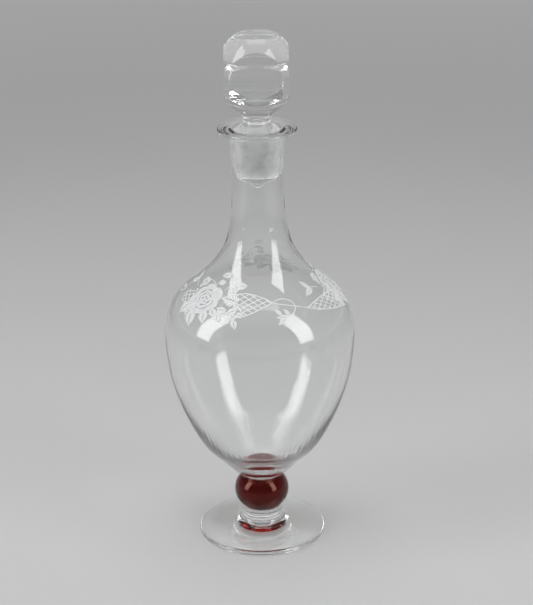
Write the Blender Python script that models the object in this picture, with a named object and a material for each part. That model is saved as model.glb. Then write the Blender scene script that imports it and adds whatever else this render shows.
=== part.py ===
"""A footed glass decanter with a ground-in stopper, in metres, standing on the origin with +Z up.

Five gathers of glass: a round foot, a clear collar, a ruby knop, a blown bowl that narrows into its
neck and turned-out lip, and a solid stopper whose ground plug lifts out of the neck.
"""

import math

import bmesh
import bpy

# Clearances between touching pieces of glass
SEAT_GAP = 0.0003
GROUND_GAP = 0.0003

# Ruby knop, a flattened ball cut flat at both ends
KNOP_RADIUS = 0.0175
KNOP_HALF_HEIGHT = 0.0150
KNOP_SEAT_TO_SEAT = 0.0210
KNOP_SEAT_RADIUS = KNOP_RADIUS * math.sqrt(1 - (KNOP_SEAT_TO_SEAT / 2 / KNOP_HALF_HEIGHT) ** 2)

# Clear collar between the foot and the knop
COLLAR_HEIGHT = 0.0105
COLLAR_LEDGE = 0.0003
COLLAR_FLARE = 0.0044
COLLAR_RADIUS = KNOP_SEAT_RADIUS + COLLAR_LEDGE

# Foot, whose boss carries the collar
FOOT_RADIUS = 0.0408
FOOT_EDGE = 0.0032
FOOT_HEIGHT = 0.0072
FOOT_CHAMFER = 0.0006
FOOT_BOSS_RADIUS = COLLAR_RADIUS + COLLAR_FLARE

# Bowl and neck
BOWL_SEAT_INSET = 0.0010
BOWL_SEAT_RADIUS = KNOP_SEAT_RADIUS - BOWL_SEAT_INSET
BELLY_RADIUS = 0.0597
BELLY_RISE = 0.0972
SHOULDER_RISE = 0.0990
BASE_THICKNESS = 0.0085
BELLY_WALL = 0.0022
NECK_RADIUS = 0.0157
NECK_WALL = 0.0024
NECK_TO_LIP = 0.0364

# Ground seat in the neck, and the lip round its mouth
SEAT_TAPER = 0.0013
SEAT_END_RADIUS = NECK_RADIUS - NECK_WALL
SEAT_TOP_RADIUS = SEAT_END_RADIUS + SEAT_TAPER
MOUTH_WALL = 0.0027
MOUTH_RADIUS = SEAT_TOP_RADIUS + MOUTH_WALL
MOUTH_CHAMFER = 0.0026
LIP_WIDTH = 0.0071
LIP_RADIUS = MOUTH_RADIUS + LIP_WIDTH
LIP_THICKNESS = 0.0019

# Stopper, whose plug fits the ground seat
PLUG_BELOW_MOUTH = 0.0018
PLUG_GROUND_LENGTH = 0.0261
PLUG_TOP_RADIUS = SEAT_TOP_RADIUS - GROUND_GAP
PLUG_END_RADIUS = SEAT_END_RADIUS - GROUND_GAP
PLUG_END_ROUND = 0.0055
PLUG_NUB_RADIUS = 0.0044
PLUG_NUB_LENGTH = 0.0045
PLUG_DOME_RISE = 0.0070
STOPPER_NECK_RADIUS = 0.0081
FINIAL_HEIGHT = 0.0527
FINIAL_RADIUS = 0.0196

# Facets round every turned piece, points along each span of a smooth outline, and mesh limits
SIDES = 48
OUTER_STEPS = 2
INNER_STEPS = 1
SHARP_ANGLE = math.radians(35)
MERGE_DISTANCE = 0.000001

# Colours and roughness of the glass
CLEAR = (0.92, 0.94, 0.95)
RUBY = (0.16, 0.01, 0.015)
POLISHED = 0.03

# Foot's upper side from the boss outwards: (share of the way out to the edge, share of the climb)
FOOT_CONE_SHARES = [(0.0, 1.0), (0.10, 0.86), (0.30, 0.66), (0.60, 0.38)]
# Collar's side from the top down: (share of the flare, share of its height)
COLLAR_SHARES = [(0.0, 1.0), (0.02, 0.66), (0.14, 0.38), (0.44, 0.16), (1.0, 0.0)]

# Outer outline of the bowl from its seat to the belly:
# (share of the way from the seat's radius to the belly's, share of the belly's rise)
LOWER_BOWL_SHARES = [
    (0.000, 0.000), (0.095, 0.030), (0.210, 0.086), (0.350, 0.158), (0.540, 0.261),
    (0.712, 0.415), (0.848, 0.579), (0.950, 0.764), (1.000, 1.000),
]
# From the belly to the narrowest place of the neck:
# (share of the way from the neck's radius to the belly's, share of the shoulder's rise)
SHOULDER_SHARES = [
    (0.965, 0.131), (0.880, 0.232), (0.728, 0.313), (0.502, 0.394), (0.284, 0.495),
    (0.120, 0.616), (0.036, 0.778), (0.000, 1.000),
]
# From the narrowest place up to the underside of the lip:
# (share of the way from the neck's radius to the mouth's, share of the neck's rise to the mouth)
MOUTH_SHARES = [(0.22, 0.39), (0.62, 0.71), (1.00, 0.865)]
# How much of the base's extra thickness the wall has at each point of the lower bowl
THICK_BASE_SHARES = [0.92, 0.80, 0.60, 0.42, 0.24, 0.12, 0.05, 0.02, 0.00]

# Domed top of the plug from the stopper's neck down: (share of the way out, share of the rise)
PLUG_DOME_SHARES = [(0.0, 1.0), (0.12, 0.62), (0.50, 0.36), (0.88, 0.16), (1.0, 0.0)]
# Finial from the top down: (share of its radius across the flats, share of its height above the
# stopper's neck, share by which the round section is squared into four panels with cut corners)
FINIAL_SHARES = [
    (0.000, 1.000, 0.0), (0.360, 0.997, 0.8), (0.660, 0.984, 1.0), (0.915, 0.900, 1.0),
    (0.970, 0.840, 1.0), (0.968, 0.740, 1.0), (0.948, 0.690, 1.0), (0.922, 0.674, 0.9),
    (0.950, 0.655, 0.8), (0.984, 0.590, 0.8), (1.000, 0.500, 0.8), (0.988, 0.390, 0.8),
    (0.960, 0.280, 0.7), (0.900, 0.212, 0.5), (0.805, 0.157, 0.3), (0.680, 0.113, 0.1),
    (0.560, 0.073, 0.0), (0.455, 0.032, 0.0),
]
# Half width of a panel as a share of its distance from the axis: its edge lies at 30 degrees
PANEL_SHARE = math.tan(math.radians(30))

# Heights above the table
COLLAR_BOTTOM = FOOT_HEIGHT + SEAT_GAP
KNOP_BOTTOM = COLLAR_BOTTOM + COLLAR_HEIGHT + SEAT_GAP
KNOP_CENTRE = KNOP_BOTTOM + KNOP_SEAT_TO_SEAT / 2
BOWL_BOTTOM = KNOP_BOTTOM + KNOP_SEAT_TO_SEAT + SEAT_GAP
# Heights above the bowl's own seat
NECK_HEIGHT = BELLY_RISE + SHOULDER_RISE
MOUTH_HEIGHT = NECK_HEIGHT + NECK_TO_LIP
# Heights above the mouth, for the stopper
STOPPER_NECK_HEIGHT = PLUG_DOME_RISE - PLUG_BELOW_MOUTH
GROUND_END_HEIGHT = -PLUG_BELOW_MOUTH - PLUG_GROUND_LENGTH


def clear_scene():
    """Remove what the start-up file holds."""
    for item in list(bpy.data.objects):
        bpy.data.objects.remove(item, do_unlink=True)


def glass(name, colour):
    """A polished glass for one piece."""
    material = bpy.data.materials.new(name)
    material.use_nodes = True
    shader = material.node_tree.nodes["Principled BSDF"]
    shader.inputs["Base Color"].default_value = (*colour, 1.0)
    shader.inputs["Roughness"].default_value = POLISHED
    shader.inputs["Metallic"].default_value = 0.0
    shader.inputs["Transmission Weight"].default_value = 1.0
    return material


def between(start, end, share):
    """The value at a share of the way from start to end."""
    return start + (end - start) * share


def smooth_outline(points, steps):
    """Points along a Catmull-Rom curve through the given (radius, height) points."""
    curve = []
    for index in range(len(points) - 1):
        before = points[max(index - 1, 0)]
        start, end = points[index], points[index + 1]
        after = points[min(index + 2, len(points) - 1)]
        for step in range(steps):
            t = step / steps
            curve.append(tuple(
                0.5 * (2 * b + (c - a) * t + (2 * a - 5 * b + 4 * c - d) * t ** 2
                       + (3 * b - a - 3 * c + d) * t ** 3)
                for a, b, c, d in zip(before, start, end, after)))
    curve.append(points[-1])
    return curve


def arc_outline(centre, radii, start, end, count):
    """Points on an ellipse's arc between two angles in degrees, both ends included."""
    points = []
    for step in range(count + 1):
        angle = math.radians(between(start, end, step / count))
        points.append((centre[0] + radii[0] * math.cos(angle),
                       centre[1] + radii[1] * math.sin(angle)))
    return points


def inward(points, index):
    """Unit vector pointing from an outline that climbs on the right to its inner side."""
    before = points[max(index - 1, 0)]
    after = points[min(index + 1, len(points) - 1)]
    run, rise = after[0] - before[0], after[1] - before[1]
    length = math.hypot(run, rise)
    return -rise / length, run / length


def turned(name, outline, height, material, parent):
    """Spin an outline of (radius, height) points that starts and ends on the axis."""
    mesh = bpy.data.meshes.new(name)
    bm = bmesh.new()
    verts = [bm.verts.new((radius, 0.0, z)) for radius, z in outline]
    edges = [bm.edges.new(pair) for pair in zip(verts, verts[1:])]
    bmesh.ops.spin(bm, geom=verts + edges, cent=(0, 0, 0), axis=(0, 0, 1), dvec=(0, 0, 0),
                   angle=math.tau, steps=SIDES, use_merge=True, use_normal_flip=False)
    bmesh.ops.remove_doubles(bm, verts=bm.verts, dist=MERGE_DISTANCE)
    bmesh.ops.recalc_face_normals(bm, faces=bm.faces)
    bm.to_mesh(mesh)
    bm.free()
    mesh.shade_smooth()
    mesh.set_sharp_from_angle(angle=SHARP_ANGLE)
    mesh.materials.append(material)
    piece = bpy.data.objects.new(name, mesh)
    bpy.context.collection.objects.link(piece)
    piece.parent = parent
    piece.location = (0.0, 0.0, height)
    return piece


def axis_empty(name, height, parent=None):
    """An empty on the axis, which carries the pieces above it."""
    empty = bpy.data.objects.new(name, None)
    bpy.context.collection.objects.link(empty)
    empty.parent = parent
    empty.location = (0.0, 0.0, height)
    return empty


def make_foot(parent):
    """A disc with a rounded edge, climbing in a shallow cone to the boss under the collar."""
    half_edge = FOOT_EDGE / 2
    edge = arc_outline((FOOT_RADIUS - half_edge, half_edge), (half_edge, half_edge), 70, -70, 6)
    cone = [(between(FOOT_BOSS_RADIUS, edge[0][0], out), between(edge[0][1], FOOT_HEIGHT, up))
            for out, up in FOOT_CONE_SHARES]
    outline = [(0.0, FOOT_HEIGHT)] + cone + edge
    outline += [(edge[-1][0] - FOOT_CHAMFER, 0.0), (0.0, 0.0)]
    return turned("foot", outline, 0.0, glass("clear_foot_glass", CLEAR), parent)


def make_collar(parent):
    """A short clear stem that flares onto the foot's boss."""
    side = [(COLLAR_RADIUS + COLLAR_FLARE * out, COLLAR_HEIGHT * up) for out, up in COLLAR_SHARES]
    outline = [(0.0, COLLAR_HEIGHT)] + smooth_outline(side, OUTER_STEPS) + [(0.0, 0.0)]
    return turned("collar", outline, COLLAR_BOTTOM, glass("clear_collar_glass", CLEAR), parent)


def make_knop(parent):
    """A flattened ball of ruby glass, cut flat where the collar and the bowl are fused on."""
    reach = math.degrees(math.asin(KNOP_SEAT_TO_SEAT / 2 / KNOP_HALF_HEIGHT))
    side = arc_outline((0.0, 0.0), (KNOP_RADIUS, KNOP_HALF_HEIGHT), reach, -reach, 14)
    outline = [(0.0, side[0][1])] + side + [(0.0, side[-1][1])]
    return turned("ruby_knop", outline, KNOP_CENTRE, glass("ruby_glass", RUBY), parent)


def bowl_inner_points(outer):
    """Inner outline from the floor up to the bore, at the wall's thickness from the outer one."""
    inner = [(0.0, BASE_THICKNESS)]
    for index, (radius, height) in enumerate(outer[:-1]):
        if index < len(THICK_BASE_SHARES):
            wall = between(BELLY_WALL, BASE_THICKNESS, THICK_BASE_SHARES[index])
        else:
            climb = SHOULDER_SHARES[index - len(THICK_BASE_SHARES)][1]
            wall = between(BELLY_WALL, NECK_WALL, climb)
        across, up = inward(outer, index)
        inner.append((radius + across * wall, height + up * wall))
    return inner


def make_bowl(parent):
    """The blown body: thick base, belly, shoulder, neck with its ground seat, and the lip."""
    lower = [(between(BOWL_SEAT_RADIUS, BELLY_RADIUS, out), BELLY_RISE * up)
             for out, up in LOWER_BOWL_SHARES]
    shoulder = [(between(NECK_RADIUS, BELLY_RADIUS, out), BELLY_RISE + SHOULDER_RISE * up)
                for out, up in SHOULDER_SHARES]
    mouth = [(between(NECK_RADIUS, MOUTH_RADIUS, out), NECK_HEIGHT + NECK_TO_LIP * up)
             for out, up in MOUTH_SHARES]
    half_lip = LIP_THICKNESS / 2
    lip_edge = arc_outline((LIP_RADIUS - half_lip, MOUTH_HEIGHT - half_lip), (half_lip, half_lip),
                           -90, 90, 6)
    mouth_chamfer = [(SEAT_TOP_RADIUS + MOUTH_CHAMFER, MOUTH_HEIGHT),
                     (SEAT_TOP_RADIUS, MOUTH_HEIGHT - PLUG_BELOW_MOUTH)]
    ground_seat_end = [(SEAT_END_RADIUS, MOUTH_HEIGHT + GROUND_END_HEIGHT)]
    inner = smooth_outline(bowl_inner_points(lower + shoulder), INNER_STEPS)
    outline = [(0.0, 0.0)] + smooth_outline(lower + shoulder + mouth, OUTER_STEPS) + lip_edge
    outline += mouth_chamfer + ground_seat_end + inner[::-1]
    return turned("bowl", outline, BOWL_BOTTOM, glass("clear_bowl_glass", CLEAR), parent)


def panelled(angle, squareness):
    """How far the finial's section reaches at an angle, against its reach across the flats."""
    across, along = abs(math.cos(angle)), abs(math.sin(angle))
    panel = min(1 / max(across, along), (1 + PANEL_SHARE) / (across + along))
    return 1 + squareness * (panel - 1)


def square_up(mesh):
    """Widen the finial's round section towards its corners, which leaves four flat panels."""
    levels = [(STOPPER_NECK_HEIGHT, 0.0)]
    levels += [(STOPPER_NECK_HEIGHT + FINIAL_HEIGHT * up, squareness)
               for _, up, squareness in reversed(FINIAL_SHARES)]
    for vert in mesh.vertices:
        for (low, low_square), (high, high_square) in zip(levels, levels[1:]):
            if low < vert.co.z <= high:
                squareness = between(low_square, high_square, (vert.co.z - low) / (high - low))
                reach = panelled(math.atan2(vert.co.y, vert.co.x), squareness)
                vert.co.x *= reach
                vert.co.y *= reach
                break


def make_stopper(parent):
    """Solid stopper: panelled finial, round neck, domed and ground plug, and the nub below it."""
    finial = [(FINIAL_RADIUS * out, STOPPER_NECK_HEIGHT + FINIAL_HEIGHT * up)
              for out, up, _ in FINIAL_SHARES]
    dome = [(between(STOPPER_NECK_RADIUS, PLUG_TOP_RADIUS, out), PLUG_DOME_RISE * up
             - PLUG_BELOW_MOUTH) for out, up in PLUG_DOME_SHARES]
    end_round = arc_outline((PLUG_NUB_RADIUS, GROUND_END_HEIGHT),
                            (PLUG_END_RADIUS - PLUG_NUB_RADIUS, PLUG_END_ROUND), 0, -75, 5)
    nub = arc_outline((0.0, GROUND_END_HEIGHT - PLUG_END_ROUND),
                      (PLUG_NUB_RADIUS, PLUG_NUB_LENGTH), -15, -90, 4)
    stopper = turned("stopper", finial + dome + end_round + nub, 0.0,
                     glass("stopper_glass", CLEAR), parent)
    square_up(stopper.data)
    return stopper


def main():
    """Build the decanter from the table up."""
    clear_scene()
    decanter = axis_empty("decanter_axis", 0.0)
    make_foot(decanter)
    make_collar(decanter)
    make_knop(decanter)
    make_bowl(decanter)
    mouth = axis_empty("stopper_axis", BOWL_BOTTOM + MOUTH_HEIGHT, decanter)
    make_stopper(mouth)


main()
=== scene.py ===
"""A footed glass decanter with a ground-in stopper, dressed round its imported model.

Turned glass is drawn as an outline and spun, the finial's four panels are then cut on the stopper,
and the engraved garland is drawn flat and then wrapped on the bowl's shoulder.
"""

import math
from bisect import bisect_right

import bmesh
import bpy
from mathutils import Euler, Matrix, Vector


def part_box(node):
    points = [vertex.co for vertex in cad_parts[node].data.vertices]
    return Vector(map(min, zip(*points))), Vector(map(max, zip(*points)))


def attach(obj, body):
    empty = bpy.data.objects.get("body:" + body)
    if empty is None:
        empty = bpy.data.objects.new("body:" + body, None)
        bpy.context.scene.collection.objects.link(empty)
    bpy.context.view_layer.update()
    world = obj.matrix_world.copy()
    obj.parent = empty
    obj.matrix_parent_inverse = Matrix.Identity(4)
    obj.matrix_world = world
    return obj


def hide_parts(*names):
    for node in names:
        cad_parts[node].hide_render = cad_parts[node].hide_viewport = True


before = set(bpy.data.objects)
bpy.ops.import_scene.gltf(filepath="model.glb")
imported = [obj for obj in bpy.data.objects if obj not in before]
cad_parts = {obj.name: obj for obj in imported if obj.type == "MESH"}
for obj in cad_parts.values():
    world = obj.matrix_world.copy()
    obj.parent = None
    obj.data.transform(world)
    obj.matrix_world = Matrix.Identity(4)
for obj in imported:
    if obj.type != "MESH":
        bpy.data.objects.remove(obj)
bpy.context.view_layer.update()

bl_info = {
    "name": "Footed Glass Decanter",
    "version": (1, 0, 0),
    "blender": (4, 5, 0),
    "location": "3D View > Sidebar > Decanter",
    "description": "A footed glass decanter with a ruby knop, an engraved garland and a stopper",
    "category": "Add Mesh",
}

FOOT_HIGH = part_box("foot")[1]
COLLAR_LOW, COLLAR_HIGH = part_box("collar")
KNOP_LOW, KNOP_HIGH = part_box("ruby_knop")
BOWL_LOW, BOWL_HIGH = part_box("bowl")
STOPPER_LOW, STOPPER_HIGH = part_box("stopper")

MILLIMETRE = 0.001
# Finest air gap left between two gathers of glass that are fused in the real decanter
FUSED_GAP = 0.00002
MERGE_DISTANCE = 0.0000005
SHARP_ANGLE = math.radians(32)
# Finial's polished edges are shallower than those of the turned glass
STOPPER_SHARP_ANGLE = math.radians(24)

# Foot's upper side from the boss outwards: (share of the way out to the edge, share of the climb)
FOOT_CONE_SHARES = [(0.0, 1.0), (0.10, 0.86), (0.30, 0.66), (0.60, 0.38), (1.0, 0.0)]
# Foot's rounded edge: the angles in degrees where it starts and ends
FOOT_EDGE_ARC = (66, -78)
# How far inside that edge the foot stands, as a share of half the edge's thickness
FOOT_RING_INSET = 0.6
# Foot's underside from the ring that it stands on inwards: (share of the ring's radius, share of
# the hollow's height)
FOOT_DISH_SHARES = [(1.0, 0.0), (0.93, 0.0), (0.88, 0.12), (0.7, 0.55), (0.4, 0.92), (0.0, 1.0)]
# Collar's side from the top down: (share of the flare, share of its height)
COLLAR_SHARES = [(0.0, 1.0), (0.02, 0.66), (0.14, 0.38), (0.44, 0.16), (1.0, 0.0)]
# Outer outline of the bowl from its seat to the belly:
# (share of the way from the seat's radius to the belly's, share of the belly's rise)
LOWER_BOWL_SHARES = [
    (0.000, 0.000), (0.095, 0.030), (0.210, 0.086), (0.350, 0.158), (0.540, 0.261),
    (0.712, 0.415), (0.848, 0.579), (0.950, 0.764), (1.000, 1.000),
]
# From the belly to the narrowest place of the neck:
# (share of the way from the neck's radius to the belly's, share of the shoulder's rise)
SHOULDER_SHARES = [
    (0.965, 0.131), (0.880, 0.232), (0.728, 0.313), (0.502, 0.394), (0.284, 0.495),
    (0.120, 0.616), (0.036, 0.778), (0.000, 1.000),
]
# From the narrowest place up to the root of the lip:
# (share of the way from the neck's radius to the mouth's, share of the neck's rise to the mouth)
MOUTH_SHARES = [(0.22, 0.39), (0.62, 0.71), (1.00, 0.865)]
# Sweep of the lip's underside: (share of the lip's width, share of the climb to its underside)
LIP_SWEEP_SHARES = [(0.16, 0.50), (0.46, 0.86), (0.80, 0.99)]
# How much of the base's extra thickness the wall has at each point of the lower bowl
THICK_BASE_SHARES = [0.92, 0.80, 0.60, 0.42, 0.24, 0.12, 0.05, 0.02, 0.00]
# Domed top of the plug from the stopper's neck down: (share of the way out, share of the rise)
PLUG_DOME_SHARES = [(0.12, 0.62), (0.50, 0.36), (0.88, 0.16), (1.0, 0.0)]
# Rounded end of the plug and the nub left on it, in metres
END_ROUND_DEPTH = 0.0055
NUB_RADIUS = 0.0044
# How far down the rounded end the nub starts
NUB_START = 0.98
# Finial's turned side from the top down, before its panels are ground flat:
# (share of the half width across the panels, share of the height above the stopper's neck)
FINIAL_SHARES = [
    (0.000, 1.000), (0.340, 0.9965), (0.590, 0.988), (0.673, 0.977), (0.800, 0.941),
    (0.940, 0.884), (1.060, 0.825), (1.148, 0.778), (1.189, 0.755), (1.184, 0.728),
    (0.944, 0.685), (1.184, 0.647), (1.245, 0.581), (1.276, 0.486), (1.276, 0.380),
    (1.245, 0.326), (1.168, 0.294), (1.060, 0.264), (0.975, 0.246), (0.918, 0.209),
    (0.811, 0.163), (0.694, 0.123), (0.571, 0.085), (0.464, 0.047), (0.413, 0.000),
]
# Points of that side where its tier, its groove and its top meet at an edge
FINIAL_EDGES = [3, 9, 10, 11]
# Panels from the top down: (share of the half width across them, share of the height as above)
PANEL_SHARES = [
    (0.985, 1.030), (0.985, 0.850), (0.994, 0.770), (0.990, 0.724), (0.976, 0.704),
    (0.942, 0.688), (0.938, 0.668), (0.944, 0.636), (0.960, 0.590), (0.985, 0.520),
    (0.997, 0.447), (0.990, 0.370), (0.970, 0.300), (0.960, 0.225), (0.960, -1.400),
]

# Stencil of one rose cluster, in millimetres, x to the right and y up.
# Leaves, each as (base x, base y, tip x, tip y, width as a share of its length)
CLUSTER_LEAVES = [
    (-11.0, -4.4, -15.8, -13.2, 0.90), (-4.8, -9.4, -2.6, -18.9, 0.96),
    (4.6, -6.8, 8.6, -13.2, 0.98), (8.8, -3.4, 14.6, -7.0, 0.84),
    (17.8, -0.2, 10.9, -1.5, 0.62), (20.4, 8.6, 9.4, 7.2, 0.88),
    (23.2, 3.6, 19.6, -1.8, 0.76), (20.4, 5.2, 25.8, 4.6, 0.58),
    (25.2, 2.0, 30.2, 2.0, 0.78), (26.2, -3.0, 29.6, -7.4, 0.84),
    (6.2, 21.9, 0.6, 18.5, 0.66), (15.2, 17.9, 20.1, 20.8, 0.92),
    (15.6, 11.4, 11.0, 16.2, 0.80), (13.0, -2.8, 17.2, -8.8, 0.78),
    (-9.8, -7.4, -9.2, -13.4, 0.62),
]
# Buds, each as (base x, base y, tip x, tip y)
CLUSTER_BUDS = [(1.4, 14.4, 5.9, 16.4), (-11.6, 8.0, -13.8, 9.6), (-12.2, 5.2, -14.4, 5.9)]
# Stems, each as its points
CLUSTER_STEMS = [
    [(-7.3, 14.6), (-3.4, 14.2), (0.0, 12.2)], [(0.0, 12.2), (0.5, 13.6), (1.6, 14.5)],
    [(7.9, 11.0), (9.2, 14.0), (12.0, 17.0), (15.4, 18.0)],
    [(6.0, 21.8), (9.4, 20.8), (12.0, 17.0)],
    [(19.6, 8.2), (22.0, 5.8), (23.6, 3.0), (24.2, 0.8)],
]
# Middle of the rose
ROSE_CENTRE = (-1.3, 1.0)
# Small flowers beside it: their centres and the reach of their petals
SMALL_FLOWERS = [(24.2, -1.5, 2.8), (-10.6, 12.6, 3.7)]
# Rings of petals, each as (petal, how many, start and end as shares of the flower's reach, turn)
ROSE_RINGS = [
    ("broad", 7, 0.66, 1.02, -0.80), ("folded", 6, 0.42, 0.63, 0.30),
    ("heart", 5, 0.21, 0.39, 0.10), ("heart", 3, 0.02, 0.18, 0.50),
]
SMALL_FLOWER_RINGS = [("broad", 5, 0.36, 1.0, 0.20), ("heart", 2, 0.02, 0.28, 0.0)]
# Gap between neighbouring petals, in millimetres
PETAL_GAP = 0.50
# Place along a petal where it is as wide as its share of the ring
PETAL_WIDE_PLACE = 0.72
# How much further the petals reach on a flower's long axis, and where that axis lies
FLOWER_SWELL = 0.09
FLOWER_SWELL_TURN = 0.8
# Widths of the motifs from base to tip, one for each row of their sheet
PETAL_WIDTHS = [0.62, 0.74, 0.86, 0.96, 1.0, 1.0, 0.95, 0.80]
HEART_WIDTHS = [0.52, 0.80, 0.97, 1.0, 0.94, 0.74]
BUD_WIDTHS = [0.30, 0.78, 1.0, 0.98, 0.80, 0.52, 0.10]
LEAF_WIDTHS = [0.10, 0.50, 0.72, 0.52, 0.86, 1.0, 0.70, 0.86, 0.94, 0.60, 0.66, 0.66, 0.34, 0.30,
               0.22, 0.03]
# Motifs, each as (widths, how far its sides are pulled back, how far its tip curls)
MOTIFS = {
    "broad": (PETAL_WIDTHS, 0.32, 0.0), "folded": (PETAL_WIDTHS, 0.42, 0.0),
    "heart": (HEART_WIDTHS, 0.50, 0.0), "bud": (BUD_WIDTHS, 0.0, 0.0),
    "leaf_right": (LEAF_WIDTHS, 0.06, 0.10), "leaf_left": (LEAF_WIDTHS, 0.06, -0.08),
}
# Width of a bud as a share of its length
BUD_WIDTH_SHARE = 0.78

# Stencil of one twisted ribbon, in millimetres from its twist. Before its outline each trellis has
# the angle in degrees by which its diamonds lean
TRELLIS_WIDE_LEFT = (-14.6, [
    (-22.6, 14.8), (-14.6, 13.2), (-9.7, 10.9), (-5.2, 8.3), (0.4, 4.4), (-6.9, 0.7),
    (-12.0, -0.9), (-18.6, -2.4),
])
TRELLIS_WIDE_RIGHT = (28.0, [
    (22.0, 0.6), (31.0, 8.8), (41.0, 17.6), (46.0, 20.6), (56.0, 12.6), (52.2, 10.1),
    (43.8, 5.0), (34.9, 1.8), (29.3, 0.6),
])
RIBBON_STEMS = [
    [(0.2, 4.1), (3.2, 5.8), (6.2, 6.6), (9.9, 6.0), (12.7, 4.4), (14.0, 1.5), (13.5, -1.3),
     (11.8, -4.1), (9.9, -5.5)],
    [(0.2, 4.1), (5.1, 2.8), (10.5, 1.9), (15.7, 1.3), (22.2, 0.7)],
    [(26.6, 16.7), (30.6, 18.4), (34.6, 19.4)],
]
RIBBON_LEAVES = [
    (4.2, -4.2, 0.4, -0.8, 0.52), (9.0, -4.2, 6.2, -0.2, 0.52), (8.4, -5.8, 0.6, -6.8, 0.46),
    (7.4, -6.8, 1.2, -11.0, 0.50), (26.4, 16.8, 19.6, 19.4, 0.50), (27.8, 16.0, 22.8, 9.8, 0.56),
]
# Short trellis between the two clusters at the back
TRELLIS_SHORT = (0.0, [(-24.0, 10.0), (-8.0, 11.5), (8.0, 11.5), (24.0, 10.0), (22.0, -2.0),
                       (8.0, -4.0), (-8.0, -4.0), (-22.0, -2.0)])
# Scrap of trellis that shows beside each rose
TRELLIS_BESIDE_ROSE = (-17.0, [(-21.6, 3.9), (-12.6, 4.2), (-11.6, 0.0), (-13.0, -4.6),
                               (-16.6, -5.0), (-20.4, -4.4), (-22.6, -2.4), (-23.0, 1.0)])
# End of the ribbon at the back
TRELLIS_END = (20.0, [(22.0, 0.6), (28.6, 6.6), (31.0, 6.6), (31.6, 3.4), (30.6, 0.8),
                      (29.3, 0.6)])

# Angles round the axis from the front, in degrees, of the clusters and the ribbons
CLUSTER_TURNS = [-49.0, 92.0, 172.0]
FRONT_RIBBON_TURNS = [11.1]
BACK_RIBBON_TURNS = [232.0]
SHORT_TRELLIS_TURNS = [137.0]
# Height on the shoulder that the stencils' own zero lies on
STENCIL_HEIGHT = 0.1710
# An engraved line's width at its ends, as a share of its width
LINE_END_SHARE = 0.55

GLASS_IOR = 1.52
FROST_ROUGHNESS = 0.55
# Roughness that handling leaves, the scale of its noise per metre, and where its noise shows
FILM_ROUGHNESS = 0.03
FILM_SCALE = 55.0
FILM_RANGE = (0.50, 0.72)
# Waves of blowing and polishing in each glass: (scale per metre, height in metres)
WAVES = {
    "foot": (60.0, 0.00002), "collar": (90.0, 0.00001), "knop": (90.0, 0.00001),
    "bowl": (30.0, 0.00004), "seat": (30.0, 0.00001), "stopper": (45.0, 0.000008),
}
WAVE_STRETCH = 0.4
# Fine ribs of the lower bowl: where they are deepest and where they have faded, above its seat,
# and their depth, in metres
RIBS_FULL = 0.012
RIBS_GONE = 0.062
RIB_DEPTH = 0.00014
# How finely the ribs divide the way round, and how much they change on the way up
RIB_SCALE = 26.0
RIB_CLIMB = 1.8
# Ground glass: the scale of its grain per metre and how far that swings its roughness, then the
# scale of its mottling, where the mottling shows and how much light it takes
GRAIN_SCALE = 900.0
GRAIN_SWING = 0.2
MOTTLE_SCALE = 260.0
MOTTLE_RANGE = (0.40, 0.66)
MOTTLE_LOSS = 0.26
# Share of the lamps' light that glass lets through where it stands edge on, and how far round
# from there the glass still counts as edge on
EDGE_LIGHT = 0.25
EDGE_BLEND = 0.28
# Colour in the knop's depth, and of the light that its surface gives back
RUBY_DEPTH_COLOUR = (0.62, 0.02, 0.02, 1.0)
RUBY_SHEEN = (1.0, 0.46, 0.38, 1.0)
# How the wheel cuts petals and leaves
PETAL_CUT = {"Rim": 0.12, "Strokes": 1.5, "Slant": -3.2, "Vein": 0.0, "Fill": 0.64}
LEAF_CUT = {"Rim": 0.14, "Strokes": 5.0, "Slant": 0.5, "Vein": 0.9, "Fill": 0.78}
# Where a stroke's wave eases in, how much it frosts, and how frosted the ground between strokes is
STROKE_RANGE = (-0.7, 0.8)
STROKE_FROST = 0.55
GROUND_FROST = 0.60
# Half widths between which a leaf's clear vein ends, as shares of the leaf's own
VEIN_RANGE = (0.04, 0.15)
# Fine lines: the scale of their grain per metre, how much it frosts, and how frosted they are
LINE_GRAIN_SCALE = 1600.0
LINE_GRAIN_FROST = 0.5
LINE_FROST = 0.6

# Grey of the studio by the height of the direction, from level to straight up
SKY_STOPS = [(0.0, 0.52), (0.12, 0.38), (0.45, 0.20), (0.80, 0.30), (1.0, 0.60)]
# Softboxes: name, turn and climb in degrees, distance, width and height in metres, and the spread
# of their light in degrees
TALL_SOFTBOXES = [
    ("softbox_left", -72.0, 32.0, 1.25, (0.46, 1.35), 140.0),
    ("softbox_right", 58.0, 32.0, 1.25, (0.46, 1.35), 140.0),
]
OVERHEAD_SOFTBOX = ("softbox_overhead", 180.0, 80.0, 1.6, (1.0, 1.0), 180.0)
SOFTBOX_AIM = (0.0, 0.0, 0.16)
# Matt floor, and how little of the lamps it mirrors
FLOOR_ROUGHNESS = 0.9
FLOOR_SHEEN = 0.15
# How much the floor's tone comes and goes, and the scale of that per metre
FLOOR_CLOUD = 0.06
FLOOR_CLOUD_SCALE = 2.0
# Distances between which the floor gets paler, and by how much, so that it stays even up to the
# horizon, where the softboxes no longer reach it
FLOOR_PALER_RANGE = (0.8, 2.2)
FLOOR_PALER = 0.72
# Camera fitted to the photograph, in metres
CAMERA_PLACE = (0.00445, -1.1057, 0.5981)
CAMERA_TARGET = (0.00445, 0.0, 0.15806)
CAMERA_ROLL = math.radians(-0.68)


def between(start, end, share):
    """The value at a share of the way from start to end."""
    return start + (end - start) * share


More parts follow.
